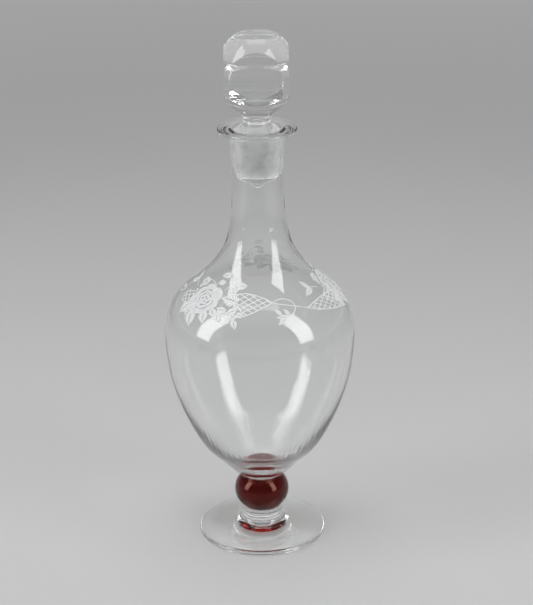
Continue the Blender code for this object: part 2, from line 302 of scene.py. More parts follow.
def smooth_outline(points, steps):
    """Points along a Catmull-Rom curve through the given points."""
    curve = []
    for index in range(len(points) - 1):
        before = points[max(index - 1, 0)]
        start, end = points[index], points[index + 1]
        after = points[min(index + 2, len(points) - 1)]
        for step in range(steps):
            t = step / steps
            curve.append(tuple(
                0.5 * (2 * b + (c - a) * t + (2 * a - 5 * b + 4 * c - d) * t ** 2
                       + (3 * b - a - 3 * c + d) * t ** 3)
                for a, b, c, d in zip(before, start, end, after)))
    curve.append(points[-1])
    return curve


def arc_outline(centre, radii, start, end, count):
    """Points on an ellipse's arc between two angles in degrees, both ends included."""
    points = []
    for step in range(count + 1):
        angle = math.radians(between(start, end, step / count))
        points.append((centre[0] + radii[0] * math.cos(angle),
                       centre[1] + radii[1] * math.sin(angle)))
    return points


def straight_outline(start, end, count):
    """Points along a straight stretch, without its last one."""
    return [(between(start[0], end[0], step / count), between(start[1], end[1], step / count))
            for step in range(count)]


def inward(points, index):
    """Unit vector pointing from an outline that climbs on the right to its inner side."""
    before = points[max(index - 1, 0)]
    after = points[min(index + 1, len(points) - 1)]
    run, rise = after[0] - before[0], after[1] - before[1]
    length = math.hypot(run, rise)
    return -rise / length, run / length


class DecanterSizes(bpy.types.PropertyGroup):
    """Sizes of the glass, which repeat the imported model's own."""

    sides: bpy.props.IntProperty(
        name="Sides", description="Facets round each turned piece", default=192, min=24)
    steps: bpy.props.IntProperty(
        name="Steps", description="Points along each span of a smooth outline", default=7, min=2)
    boss_radius: bpy.props.FloatProperty(
        name="Boss Radius", description="Radius of the foot's boss under the collar",
        default=COLLAR_HIGH.x, unit="LENGTH")
    foot_edge: bpy.props.FloatProperty(
        name="Foot Edge", description="Thickness of the foot at its rounded edge",
        default=0.0032, unit="LENGTH")
    foot_dish: bpy.props.FloatProperty(
        name="Foot Dish", description="How far the foot's underside is hollowed at its middle",
        default=0.0008, unit="LENGTH")
    collar_radius: bpy.props.FloatProperty(
        name="Collar Radius", description="Radius of the clear collar at its top",
        default=0.0128, unit="LENGTH")
    knop_radius: bpy.props.FloatProperty(
        name="Knop Radius", description="Radius of the ruby knop at its widest",
        default=KNOP_HIGH.x, unit="LENGTH")
    knop_half_height: bpy.props.FloatProperty(
        name="Knop Half Height", description="Half height of the ball that the knop is cut from",
        default=0.0150, unit="LENGTH")
    bowl_seat_radius: bpy.props.FloatProperty(
        name="Bowl Seat Radius", description="Radius at which the bowl is fused to the knop",
        default=0.0115, unit="LENGTH")
    belly_radius: bpy.props.FloatProperty(
        name="Belly Radius", description="Radius of the bowl at its widest",
        default=BOWL_HIGH.x, unit="LENGTH")
    belly_rise: bpy.props.FloatProperty(
        name="Belly Rise", description="Height of the widest place above the bowl's seat",
        default=0.0972, unit="LENGTH")
    shoulder_rise: bpy.props.FloatProperty(
        name="Shoulder Rise", description="Height of the narrowest place above the widest one",
        default=0.0990, unit="LENGTH")
    belly_wall: bpy.props.FloatProperty(
        name="Belly Wall", description="Thickness of the blown wall at the belly",
        default=0.0022, unit="LENGTH")
    base_thickness: bpy.props.FloatProperty(
        name="Base Thickness", description="Thickness of the solid glass under the bowl's floor",
        default=0.0085, unit="LENGTH")
    neck_radius: bpy.props.FloatProperty(
        name="Neck Radius", description="Outer radius of the neck at its narrowest",
        default=0.0157, unit="LENGTH")
    neck_wall: bpy.props.FloatProperty(
        name="Neck Wall", description="Thickness of the neck's wall",
        default=0.0024, unit="LENGTH")
    mouth_radius: bpy.props.FloatProperty(
        name="Mouth Radius", description="Outer radius of the neck under the lip",
        default=0.0173, unit="LENGTH")
    lip_radius: bpy.props.FloatProperty(
        name="Lip Radius", description="Radius of the turned-out lip",
        default=0.0244, unit="LENGTH")
    lip_thickness: bpy.props.FloatProperty(
        name="Lip Thickness", description="Thickness of the lip at its rounded edge",
        default=0.0019, unit="LENGTH")
    seat_top_radius: bpy.props.FloatProperty(
        name="Seat Top Radius", description="Radius of the ground seat at its top",
        default=0.0146, unit="LENGTH")
    seat_end_radius: bpy.props.FloatProperty(
        name="Seat End Radius", description="Radius of the ground seat at its lower end",
        default=0.0133, unit="LENGTH")
    plug_below_mouth: bpy.props.FloatProperty(
        name="Plug Below Mouth", description="How far the plug's top edge lies below the mouth",
        default=0.0018, unit="LENGTH")
    ground_length: bpy.props.FloatProperty(
        name="Ground Length", description="Length of the plug's ground side",
        default=0.0261, unit="LENGTH")
    ground_gap: bpy.props.FloatProperty(
        name="Ground Gap", description="Gap between the ground plug and its seat",
        default=0.0003, unit="LENGTH")
    dome_rise: bpy.props.FloatProperty(
        name="Dome Rise", description="Height of the plug's domed top up to the stopper's neck",
        default=0.0070, unit="LENGTH")
    finial_radius: bpy.props.FloatProperty(
        name="Finial Radius", description="Half width of the finial across its panels",
        default=0.0196, unit="LENGTH")


class GlassFinish(bpy.types.PropertyGroup):
    """Colours and finishes of the glass."""

    clear_tint: bpy.props.FloatVectorProperty(
        name="Clear Tint", description="Colour of the clear glass", subtype="COLOR", size=3,
        default=(0.985, 0.992, 0.990), min=0.0, max=1.0)
    ruby_tint: bpy.props.FloatVectorProperty(
        name="Ruby Tint", description="Colour that each face of the ruby knop gives the light",
        subtype="COLOR", size=3, default=(0.38, 0.012, 0.014), min=0.0, max=1.0)
    ruby_depth: bpy.props.FloatProperty(
        name="Ruby Depth", description="How strongly the knop's glass swallows light, per metre",
        default=135.0, min=0.0)
    frost_colour: bpy.props.FloatVectorProperty(
        name="Frost Colour", description="Colour of ground and wheel-cut glass", subtype="COLOR",
        size=3, default=(0.90, 0.91, 0.92), min=0.0, max=1.0)
    frost_passes: bpy.props.FloatProperty(
        name="Frost Passes", description="How much light passes through wheel-cut frosting",
        default=0.12, min=0.0, max=1.0, subtype="FACTOR")
    ground_roughness: bpy.props.FloatProperty(
        name="Ground Roughness", description="Roughness of the ground plug and seat",
        default=0.42, min=0.0, max=1.0, subtype="FACTOR")


class GarlandSizes(bpy.types.PropertyGroup):
    """Sizes of the engraved garland."""

    rose_radius: bpy.props.FloatProperty(
        name="Rose Radius", description="Reach of the rose's outer petals",
        default=0.0115, unit="LENGTH")
    line_width: bpy.props.FloatProperty(
        name="Line Width", description="Width of an engraved line", default=0.0005, unit="LENGTH")
    trellis_pitch: bpy.props.FloatProperty(
        name="Trellis Pitch", description="Length of a side of the trellis's diamonds",
        default=0.0034, unit="LENGTH")
    trellis_angle: bpy.props.FloatProperty(
        name="Trellis Angle", description="Angle of the trellis's lines to the level",
        default=math.radians(33), subtype="ANGLE")
    proud: bpy.props.FloatProperty(
        name="Proud", description="Thickness of the frosted layer", default=0.00006, unit="LENGTH")
    lift: bpy.props.FloatProperty(
        name="Lift", description="Gap between the frosted layer and the clear glass",
        default=0.00005, unit="LENGTH")


class StudioSettings(bpy.types.PropertyGroup):
    """Floor, lights and camera."""

    floor_colour: bpy.props.FloatVectorProperty(
        name="Floor Colour", description="Colour of the plain floor", subtype="COLOR", size=3,
        default=(0.56, 0.56, 0.56), min=0.0, max=1.0)
    floor_radius: bpy.props.FloatProperty(
        name="Floor Radius", description="Radius of the floor", default=30.0, unit="LENGTH")
    softbox_power: bpy.props.FloatProperty(
        name="Softbox Power", description="Power of each tall softbox", default=5.5, unit="POWER")
    overhead_power: bpy.props.FloatProperty(
        name="Overhead Power", description="Power of the overhead softbox", default=5.0,
        unit="POWER")
    focal_length: bpy.props.FloatProperty(
        name="Focal Length", description="Camera's focal length", default=113.06,
        unit="CAMERA")


def deselect_all():
    """Leave no object selected."""
    bpy.ops.object.select_all(action="DESELECT")


def pick_piece(piece):
    """Select one piece alone and make it the active one."""
    deselect_all()
    piece.select_set(True)
    bpy.context.view_layer.objects.active = piece


def copy_of(piece):
    """A copy of a piece with its own mesh, selected alone."""
    pick_piece(piece)
    bpy.ops.object.duplicate(linked=False)
    return bpy.context.object


def new_piece(name):
    """Name the primitive just added and open it for editing."""
    piece = bpy.context.object
    piece.name = name
    piece.data.name = name
    bpy.ops.object.mode_set(mode="EDIT")
    bpy.ops.mesh.select_mode(type="VERT")
    return piece


def pick(kind, test):
    """Select in edit mode only the "verts", "edges" or "faces" that pass a test."""
    bpy.ops.mesh.select_mode(type=kind[:-1].upper())
    bpy.ops.mesh.select_all(action="DESELECT")
    mesh = bpy.context.object.data
    work = bmesh.from_edit_mesh(mesh)
    for part in getattr(work, kind):
        if test(part):
            part.select_set(True)
    work.select_flush_mode()
    bmesh.update_edit_mesh(mesh)


def close_edit():
    """Merge doubles, turn every face outwards and leave edit mode."""
    bpy.ops.mesh.select_mode(type="VERT")
    bpy.ops.mesh.select_all(action="SELECT")
    bpy.ops.mesh.remove_doubles(threshold=MERGE_DISTANCE)
    bpy.ops.mesh.normals_make_consistent(inside=False)
    bpy.ops.object.mode_set(mode="OBJECT")


def turned_piece(name, outline, sides):
    """Draw an outline of (radius, height) points from axis to axis and spin it round the axis."""
    deselect_all()
    bpy.ops.mesh.primitive_plane_add(size=MERGE_DISTANCE)
    piece = new_piece(name)
    bpy.ops.mesh.merge(type="CENTER")
    bpy.ops.transform.translate(value=(outline[0][0], 0.0, outline[0][1]))
    for before, after in zip(outline, outline[1:]):
        step = (after[0] - before[0], 0.0, after[1] - before[1])
        bpy.ops.mesh.extrude_vertices_move(TRANSFORM_OT_translate={"value": step})
    bpy.ops.mesh.select_all(action="SELECT")
    bpy.ops.mesh.spin(steps=sides, angle=math.tau, use_auto_merge=True, center=(0.0, 0.0, 0.0),
                      axis=(0.0, 0.0, 1.0))
    close_edit()
    bpy.ops.object.shade_smooth_by_angle(angle=SHARP_ANGLE)
    return piece


def give_finish(piece, *materials):
    """Put materials on a piece, the first on all its faces."""
    piece.data.materials.clear()
    for material in materials:
        piece.data.materials.append(material)


def mark_seam(piece, height, radius, index):
    """Give the flat disc where a piece is fused to its neighbour the material at an index."""
    for face in piece.data.polygons:
        centre = face.center
        if abs(centre.z - height) < FUSED_GAP and math.hypot(centre.x, centre.y) < radius:
            face.material_index = index


def finish_piece(piece, body, slot, *nodes):
    """Let a finished piece ride on its body and stand for its CAD nodes, which it hides; the slot
    is not used.
    """
    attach(piece, body)
    if nodes:
        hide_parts(*nodes)


def add_node(tree, kind, inputs=None, **settings):
    """Add a shader node, set it up, and feed its inputs with values or with other sockets."""
    made = tree.nodes.new(kind)
    for key, value in settings.items():
        setattr(made, key, value)
    for key, value in (inputs or {}).items():
        if isinstance(value, bpy.types.NodeSocket):
            tree.links.new(value, made.inputs[key])
        else:
            made.inputs[key].default_value = value
    return made


def maths(tree, operation, *values, clamp=False):
    """A Math node's result."""
    return add_node(tree, "ShaderNodeMath", dict(enumerate(values)), operation=operation,
                    use_clamp=clamp).outputs[0]


def ramp(tree, value, low, high):
    """A value eased from 0 at low to 1 at high."""
    return add_node(tree, "ShaderNodeMapRange",
                    {"Value": value, "From Min": low, "From Max": high},
                    interpolation_type="SMOOTHSTEP").outputs["Result"]


def object_place(tree):
    """Place on the piece, in metres."""
    return add_node(tree, "ShaderNodeTexCoord").outputs["Object"]


def noise(tree, place, scale, detail, **more):
    """Noise between 0 and 1 at a place."""
    inputs = {"Vector": place, "Scale": scale, "Detail": detail, **more}
    return add_node(tree, "ShaderNodeTexNoise", inputs).outputs["Fac"]


def scaled_colour(tree, tint, factor):
    """A colour made brighter or darker by a factor that changes over the surface."""
    return add_node(tree, "ShaderNodeVectorMath", {0: tuple(tint), "Scale": factor},
                    operation="SCALE").outputs["Vector"]


def start_group(name, numbers, outputs):
    """A new shader node group with named number inputs and outputs."""
    tree = bpy.data.node_groups.new(name, "ShaderNodeTree")
    for label, value in numbers.items():
        socket = tree.interface.new_socket(name=label, in_out="INPUT",
                                           socket_type="NodeSocketFloat")
        socket.default_value = value
    for label in outputs:
        tree.interface.new_socket(name=label, in_out="OUTPUT", socket_type="NodeSocketFloat")
    return tree, tree.nodes.new("NodeGroupInput"), tree.nodes.new("NodeGroupOutput")


def place_group(tree, name, inputs):
    """Place a finished group in a material with its own values."""
    return add_node(tree, "ShaderNodeGroup", inputs, node_tree=bpy.data.node_groups[name])


def make_blown_waves_group():
    """Height of the slow waves of blowing, and of fine ribs that run down to the thick base."""
    tree, given, result = start_group(
        "Blown Waves", {"Scale": 40.0, "Stretch": 0.35, "Height": 0.00003, "Rib Height": 0.0,
                        "Rib Bottom": 0.0, "Rib Top": 1.0}, ["Height"])
    parts = add_node(tree, "ShaderNodeSeparateXYZ", {0: object_place(tree)})
    high = parts.outputs["Z"]
    level = {"X": parts.outputs["X"], "Y": parts.outputs["Y"]}
    drawn = maths(tree, "MULTIPLY", high, given.outputs["Stretch"])
    spot = add_node(tree, "ShaderNodeCombineXYZ", {**level, "Z": drawn}).outputs[0]
    swell = maths(tree, "SUBTRACT", noise(tree, spot, given.outputs["Scale"], detail=1.0), 0.5)
    waves = maths(tree, "MULTIPLY", swell, given.outputs["Height"])
    # Ribs follow the direction from the axis alone, so that they run down the glass
    level_place = add_node(tree, "ShaderNodeCombineXYZ", {**level, "Z": 0.0})
    outward = add_node(tree, "ShaderNodeVectorMath", {0: level_place.outputs[0]},
                       operation="NORMALIZE")
    turned = add_node(tree, "ShaderNodeSeparateXYZ", {0: outward.outputs[0]})
    rib_place = add_node(tree, "ShaderNodeCombineXYZ",
                         {"X": turned.outputs["X"], "Y": turned.outputs["Y"],
                          "Z": maths(tree, "MULTIPLY", high, RIB_CLIMB)})
    ribs = noise(tree, rib_place.outputs[0], RIB_SCALE, detail=1.0)
    fade = ramp(tree, high, given.outputs["Rib Top"], given.outputs["Rib Bottom"])
    rib_height = maths(tree, "MULTIPLY", fade, given.outputs["Rib Height"])
    tree.links.new(maths(tree, "MULTIPLY_ADD", ribs, rib_height, waves), result.inputs["Height"])


def make_ground_band_group():
    """Mask, fine grain and mottling of glass that is ground between two heights."""
    tree, given, result = start_group(
        "Ground Band", {"Bottom": 0.0, "Top": 1.0, "Edge": 0.0004}, ["Mask", "Grain", "Mottle"])
    place = object_place(tree)
    height = add_node(tree, "ShaderNodeSeparateXYZ", {0: place}).outputs["Z"]
    edge = given.outputs["Edge"]
    lower = ramp(tree, height, given.outputs["Bottom"],
                 maths(tree, "ADD", given.outputs["Bottom"], edge))
    upper = ramp(tree, height, given.outputs["Top"],
                 maths(tree, "SUBTRACT", given.outputs["Top"], edge))
    mottle = noise(tree, place, MOTTLE_SCALE, detail=5.0, Roughness=0.7)
    tree.links.new(maths(tree, "MULTIPLY", lower, upper), result.inputs["Mask"])
    tree.links.new(noise(tree, place, GRAIN_SCALE, detail=3.0), result.inputs["Grain"])
    tree.links.new(ramp(tree, mottle, *MOTTLE_RANGE), result.inputs["Mottle"])


def make_handling_film_group():
    """Faint film of handling and washing, as a small roughness that comes and goes."""
    tree, given, result = start_group("Handling Film", {"Strength": 0.02}, ["Roughness"])
    film = noise(tree, object_place(tree), FILM_SCALE, detail=4.0)
    film = ramp(tree, film, *FILM_RANGE)
    tree.links.new(maths(tree, "MULTIPLY", film, given.outputs["Strength"]),
                   result.inputs["Roughness"])


def make_wheel_cut_group():
    """How strongly the engraver's wheel has frosted a motif, by its rim, strokes and vein."""
    tree, given, result = start_group("Wheel Cut", LEAF_CUT, ["Cut"])
    chart = add_node(tree, "ShaderNodeTexCoord").outputs["UV"]
    parts = add_node(tree, "ShaderNodeSeparateXYZ", {0: chart})
    along = parts.outputs["Y"]
    across = maths(tree, "ABSOLUTE", maths(tree, "MULTIPLY_ADD", parts.outputs["X"], 2.0, -1.0))
    inner = maths(tree, "SUBTRACT", 1.0, given.outputs["Rim"])
    rim = maths(tree, "MAXIMUM", ramp(tree, across, inner, 1.0), ramp(tree, along, inner, 1.0))
    rise = maths(tree, "MULTIPLY", across, given.outputs["Slant"])
    course = maths(tree, "MULTIPLY", maths(tree, "SUBTRACT", along, rise),
                   given.outputs["Strokes"])
    wave = maths(tree, "SINE", maths(tree, "MULTIPLY", course, math.tau))
    strokes = maths(tree, "MULTIPLY_ADD", ramp(tree, wave, *STROKE_RANGE), STROKE_FROST,
                    GROUND_FROST)
    body = maths(tree, "MULTIPLY", strokes, given.outputs["Fill"])
    clear = maths(tree, "SUBTRACT", 1.0, ramp(tree, across, *VEIN_RANGE))
    vein = maths(tree, "MULTIPLY", clear, given.outputs["Vein"])
    cut = maths(tree, "SUBTRACT", maths(tree, "MAXIMUM", body, rim), vein, clamp=True)
    tree.links.new(cut, result.inputs["Cut"])


def let_lamps_through(material, shader, tint):
    """Let lamp light pass through a glass, a little less where the glass stands edge on."""
    tree = material.node_tree
    facing = add_node(tree, "ShaderNodeLayerWeight", {"Blend": EDGE_BLEND}).outputs["Facing"]
    edge_tint = (*(EDGE_LIGHT * part for part in tint), 1.0)
    shade = add_node(tree, "ShaderNodeMix", {"Factor": facing, "A": (*tint, 1.0), "B": edge_tint},
                     data_type="RGBA").outputs["Result"]
    clear = add_node(tree, "ShaderNodeBsdfTransparent", {"Color": shade})
    path = add_node(tree, "ShaderNodeLightPath").outputs["Is Shadow Ray"]
    both = add_node(tree, "ShaderNodeMixShader",
                    {0: path, 1: shader.outputs["BSDF"], 2: clear.outputs["BSDF"]})
    tree.links.new(both.outputs[0], tree.nodes["Material Output"].inputs["Surface"])


def new_material(name, tint, roughness):
    """A material with a Principled shader of one colour and roughness."""
    material = bpy.data.materials.new(name)
    material.use_nodes = True
    shader = material.node_tree.nodes["Principled BSDF"]
    shader.inputs["Base Color"].default_value = (*tint, 1.0)
    shader.inputs["Roughness"].default_value = roughness
    shader.inputs["Metallic"].default_value = 0.0
    return material, material.node_tree, shader


def glass_material(name, tint, waves, ground=None, ribs=None):
    """Polished glass with its waves and film, ground or ribbed between two heights if given."""
    finish = bpy.context.scene.decanter_finish
    material, tree, shader = new_material(name, tint, 0.0)
    shader.inputs["Transmission Weight"].default_value = 1.0
    shader.inputs["IOR"].default_value = GLASS_IOR
    rough = place_group(tree, "Handling Film", {"Strength": FILM_ROUGHNESS}).outputs["Roughness"]
    scale, height = waves
    wave_inputs = {"Scale": scale, "Stretch": WAVE_STRETCH, "Height": height}
    if ribs:
        wave_inputs["Rib Bottom"], wave_inputs["Rib Top"] = ribs
        wave_inputs["Rib Height"] = RIB_DEPTH
    surface = place_group(tree, "Blown Waves", wave_inputs).outputs["Height"]
    if ground:
        band = place_group(tree, "Ground Band", {"Bottom": ground[0], "Top": ground[1]})
        mask = band.outputs["Mask"]
        grain = maths(tree, "MULTIPLY_ADD", band.outputs["Grain"], GRAIN_SWING,
                      finish.ground_roughness - GRAIN_SWING / 2)
        rough = maths(tree, "MAXIMUM", rough, maths(tree, "MULTIPLY", grain, mask))
        mottle = maths(tree, "MULTIPLY", band.outputs["Mottle"], mask)
        kept = maths(tree, "MULTIPLY_ADD", mottle, -MOTTLE_LOSS, 1.0)
        tree.links.new(scaled_colour(tree, tint, kept), shader.inputs["Base Color"])
    tree.links.new(rough, shader.inputs["Roughness"])
    bump = add_node(tree, "ShaderNodeBump", {"Strength": 1.0, "Distance": 1.0, "Height": surface})
    tree.links.new(bump.outputs["Normal"], shader.inputs["Normal"])
    let_lamps_through(material, shader, tint)
    return material


def seam_material(name, tint):
    """The fused joint between two gathers, which can't be seen."""
    material, _, shader = new_material(name, tint, 0.0)
    shader.inputs["Alpha"].default_value = 0.0
    return material


def frosted_material(name):
    """Glass frosted by the engraver's wheel, which lets a little light through."""
    finish = bpy.context.scene.decanter_finish
    material, tree, shader = new_material(name, finish.frost_colour, FROST_ROUGHNESS)
    shader.inputs["Transmission Weight"].default_value = finish.frost_passes
    return material, tree, shader.inputs["Alpha"]


def engraved_material(name, cut):
    """A frosted motif, clearest between the wheel's strokes."""
    material, tree, alpha = frosted_material(name)
    tree.links.new(place_group(tree, "Wheel Cut", cut).outputs["Cut"], alpha)
    return material


def line_material(name):
    """Fine wheel-cut lines, frosted all over with a little grain."""
    material, tree, alpha = frosted_material(name)
    grain = noise(tree, object_place(tree), LINE_GRAIN_SCALE, detail=2.0)
    shown = maths(tree, "MULTIPLY_ADD", grain, LINE_GRAIN_FROST, LINE_FROST, clamp=True)
    tree.links.new(shown, alpha)
    return material


class DECANTER_OT_foot(bpy.types.Operator):
    """Turn the round foot with its rounded edge and hollowed underside"""

    bl_idname = "decanter.foot"
    bl_label = "Foot"

    def execute(self, context):
        """Spin the foot's outline and let it stand for the CAD foot."""
        sizes = context.scene.decanter_sizes
        finish = context.scene.decanter_finish
        top = between(FOOT_HIGH.z, COLLAR_LOW.z, 0.5) - FUSED_GAP / 2
        half = sizes.foot_edge / 2
        radius = FOOT_HIGH.x
        edge = arc_outline((radius - half, half), (half, half), *FOOT_EDGE_ARC, count=16)
        cone = [(between(sizes.boss_radius, edge[0][0], out), between(edge[0][1], top, up))
                for out, up in FOOT_CONE_SHARES]
        ring = edge[-1][0] - half * FOOT_RING_INSET
        dish = [(ring * out, sizes.foot_dish * up) for out, up in FOOT_DISH_SHARES]
        outline = [(0.0, top)] + smooth_outline(cone, sizes.steps) + edge[1:]
        # A smooth outline can swing a little below the ground between its points
        outline += [(out, max(height, 0.0)) for out, height in smooth_outline(dish, sizes.steps)]
        piece = turned_piece("foot_glass", outline, sizes.sides)
        give_finish(piece, glass_material("clear_foot_glass", finish.clear_tint, WAVES["foot"]),
                    seam_material("fused_foot_joint", finish.clear_tint))
        mark_seam(piece, top, sizes.boss_radius, 1)
        finish_piece(piece, "decanter", "clear_glass", "foot")
        return {"FINISHED"}


class DECANTER_OT_collar(bpy.types.Operator):
    """Turn the short clear collar that flares on to the foot"""

    bl_idname = "decanter.collar"
    bl_label = "Collar"

    def execute(self, context):
        """Spin the collar's outline and let it stand for the CAD collar."""
        sizes = context.scene.decanter_sizes
        finish = context.scene.decanter_finish
        bottom = between(FOOT_HIGH.z, COLLAR_LOW.z, 0.5) + FUSED_GAP / 2
        top = between(COLLAR_HIGH.z, KNOP_LOW.z, 0.5) - FUSED_GAP / 2
        seat = knop_seat_radius(sizes)
        side = [(between(sizes.collar_radius, sizes.boss_radius, out), between(bottom, top, up))
                for out, up in COLLAR_SHARES]
        outline = [(0.0, top), (seat, top)] + smooth_outline(side, sizes.steps) + [(0.0, bottom)]
        piece = turned_piece("collar_glass", outline, sizes.sides)
        tint = finish.clear_tint
        give_finish(piece, glass_material("clear_collar_glass", tint, WAVES["collar"]),
                    seam_material("fused_collar_joint", tint))
        mark_seam(piece, top, seat, 1)
        mark_seam(piece, bottom, sizes.boss_radius, 1)
        finish_piece(piece, "decanter", "clear_glass", "collar")
        return {"FINISHED"}


def knop_seat_radius(sizes):
    """Radius of the flat cuts at both ends of the knop."""
    reach = (KNOP_HIGH.z - KNOP_LOW.z) / 2 / sizes.knop_half_height
    return sizes.knop_radius * math.sqrt(1 - reach ** 2)


class DECANTER_OT_knop(bpy.types.Operator):
    """Turn the ruby knop between the collar and the bowl"""

    bl_idname = "decanter.knop"
    bl_label = "Ruby Knop"

    def execute(self, context):
        """Spin the knop's outline, colour it through and let it stand for the CAD knop."""
        sizes = context.scene.decanter_sizes
        finish = context.scene.decanter_finish
        bottom = between(COLLAR_HIGH.z, KNOP_LOW.z, 0.5) + FUSED_GAP / 2
        top = between(KNOP_HIGH.z, BOWL_LOW.z, 0.5) - FUSED_GAP / 2
        half = (KNOP_HIGH.z - KNOP_LOW.z) / 2
        reach = math.degrees(math.asin(half / sizes.knop_half_height))
        middle = between(KNOP_LOW.z, KNOP_HIGH.z, 0.5)
        side = arc_outline((0.0, middle), (sizes.knop_radius, sizes.knop_half_height), reach,
                           -reach, count=64)
        side[0] = (side[0][0], top)
        side[-1] = (side[-1][0], bottom)
        outline = [(0.0, top), (sizes.bowl_seat_radius, top)] + side + [(0.0, bottom)]
        piece = turned_piece("knop_glass", outline, sizes.sides)
        material = glass_material("ruby_glass", finish.ruby_tint, WAVES["knop"])
        tree = material.node_tree
        shader = tree.nodes["Principled BSDF"]
        depth = add_node(tree, "ShaderNodeVolumeAbsorption",
                         {"Color": RUBY_DEPTH_COLOUR, "Density": finish.ruby_depth})
        tree.links.new(depth.outputs[0], tree.nodes["Material Output"].inputs["Volume"])
        shader.inputs["Specular Tint"].default_value = RUBY_SHEEN
        # Its flat cuts are fused to the clear glass and can't be seen
        fused = add_node(tree, "ShaderNodeAttribute", attribute_name="fused").outputs["Fac"]
        tree.links.new(maths(tree, "SUBTRACT", 1.0, fused), shader.inputs["Alpha"])
        give_finish(piece, material)
        mark = piece.data.attributes.new("fused", "FLOAT", "FACE")
        for face in piece.data.polygons:
            reach = math.hypot(face.center.x, face.center.y)
            on_top = abs(face.center.z - top) < FUSED_GAP and reach < sizes.bowl_seat_radius
            below = abs(face.center.z - bottom) < FUSED_GAP
            mark.data[face.index].value = 1.0 if on_top or below else 0.0
        finish_piece(piece, "decanter", "ruby_glass", "ruby_knop")
        return {"FINISHED"}


def bowl_outer_points(sizes):
    """Main points of the bowl's outer side, from its seat up to the root of the lip."""
    bottom = BOWL_LOW.z
    belly = bottom + sizes.belly_rise
    neck = belly + sizes.shoulder_rise
    rise = BOWL_HIGH.z - neck
    lower = [(between(sizes.bowl_seat_radius, sizes.belly_radius, out),
              bottom + sizes.belly_rise * up) for out, up in LOWER_BOWL_SHARES]
    shoulder = [(between(sizes.neck_radius, sizes.belly_radius, out),
                 belly + sizes.shoulder_rise * up) for out, up in SHOULDER_SHARES]
    mouth = [(between(sizes.neck_radius, sizes.mouth_radius, out), neck + rise * up)
             for out, up in MOUTH_SHARES]
    return lower, shoulder, mouth


def bowl_inner_points(sizes, outer):
    """Inner outline from the floor up to the bore, at the wall's thickness from the outer one."""
    inner = [(0.0, BOWL_LOW.z + sizes.base_thickness)]
    for index, (radius, height) in enumerate(outer[:-1]):
        if index < len(THICK_BASE_SHARES):
            wall = between(sizes.belly_wall, sizes.base_thickness, THICK_BASE_SHARES[index])
        else:
            climb = SHOULDER_SHARES[index - len(THICK_BASE_SHARES)][1]
            wall = between(sizes.belly_wall, sizes.neck_wall, climb)
        across, up = inward(outer, index)
        inner.append((radius + across * wall, height + up * wall))
    return inner


class DECANTER_OT_bowl(bpy.types.Operator):
    """Turn the blown bowl with its thick base, neck, ground seat and lip"""

    bl_idname = "decanter.bowl"
    bl_label = "Bowl"

    def execute(self, context):
        """Spin the bowl's outer and inner outline in one, and let it stand for the CAD bowl."""
        sizes = context.scene.decanter_sizes
        finish = context.scene.decanter_finish
        lower, shoulder, mouth = bowl_outer_points(sizes)
        rim = BOWL_HIGH.z
        half_lip = sizes.lip_thickness / 2
        root = mouth[-1]
        under = (sizes.lip_radius - half_lip, rim - sizes.lip_thickness)
        sweep = [(between(root[0], under[0], out), between(root[1], under[1], up))
                 for out, up in LIP_SWEEP_SHARES]
        outer = [(min(radius, sizes.belly_radius), height) for radius, height
                 in smooth_outline(lower + shoulder + mouth + sweep + [under], sizes.steps)]
        lip = arc_outline((sizes.lip_radius - half_lip, rim - half_lip), (half_lip, half_lip),
                          start=-90, end=90, count=14)
        seat_top = (sizes.seat_top_radius, rim - sizes.plug_below_mouth)
        ease = rim - seat_top[1]
        mouth_ease = arc_outline((seat_top[0] + ease, rim - ease), (ease, ease), start=90,
                                 end=180, count=8)
        seat_end = (sizes.seat_end_radius, seat_top[1] - sizes.ground_length)
        inner = smooth_outline(bowl_inner_points(sizes, lower + shoulder), sizes.steps)
        bore_top = inner[-1]
        bottom = between(KNOP_HIGH.z, BOWL_LOW.z, 0.5) + FUSED_GAP / 2
        outline = [(0.0, bottom), (sizes.bowl_seat_radius, bottom)] + outer + lip[1:]
        outline += mouth_ease[:-1] + straight_outline(seat_top, seat_end, count=10)
        outline += straight_outline(seat_end, bore_top, count=3) + inner[::-1]
        piece = turned_piece("bowl_glass", outline, sizes.sides)
        ground = (seat_end[1], seat_top[1])
        ribs = (bottom + RIBS_FULL, bottom + RIBS_GONE)
        tint = finish.clear_tint
        give_finish(piece, glass_material("clear_bowl_glass", tint, WAVES["bowl"], ribs=ribs),
                    seam_material("fused_bowl_joint", tint),
                    glass_material("ground_seat_glass", tint, WAVES["seat"], ground))
        mark_seam(piece, bottom, sizes.bowl_seat_radius, 1)
        for face in piece.data.polygons:
            reach = math.hypot(face.center.x, face.center.y)
            if ground[0] < face.center.z < ground[1] and reach < sizes.seat_top_radius:
                face.material_index = 2
        finish_piece(piece, "decanter", "clear_glass", "bowl")
        return {"FINISHED"}


def panel_block(levels):
    """A tall square block with the finial's four panels, of (half width, height) levels."""
    deselect_all()
    half, height = levels[0]
    bpy.ops.mesh.primitive_plane_add(size=2 * half, location=(0.0, 0.0, 0.0))
    block = new_piece("panel_block")
    bpy.ops.mesh.select_mode(type="FACE")
    bpy.ops.transform.translate(value=(0.0, 0.0, height))
    for wide, level in levels[1:]:
        bpy.ops.mesh.extrude_region_move(
            TRANSFORM_OT_translate={"value": (0.0, 0.0, level - height)})
        bpy.ops.transform.resize(value=(wide / half, wide / half, 1.0),
                                 center_override=(0.0, 0.0, level))
        half, height = wide, level
    close_edit()
    return block


def on_panel(centre, levels):
    """Whether a face's centre lies on one of the panels of (half width, height) levels."""
    for (wide, level), (below_wide, below) in zip(levels, levels[1:]):
        if below <= centre.z <= level:
            half = between(wide, below_wide, (level - centre.z) / (level - below))
            return abs(max(abs(centre.x), abs(centre.y)) - half) < FUSED_GAP / 2
    return False


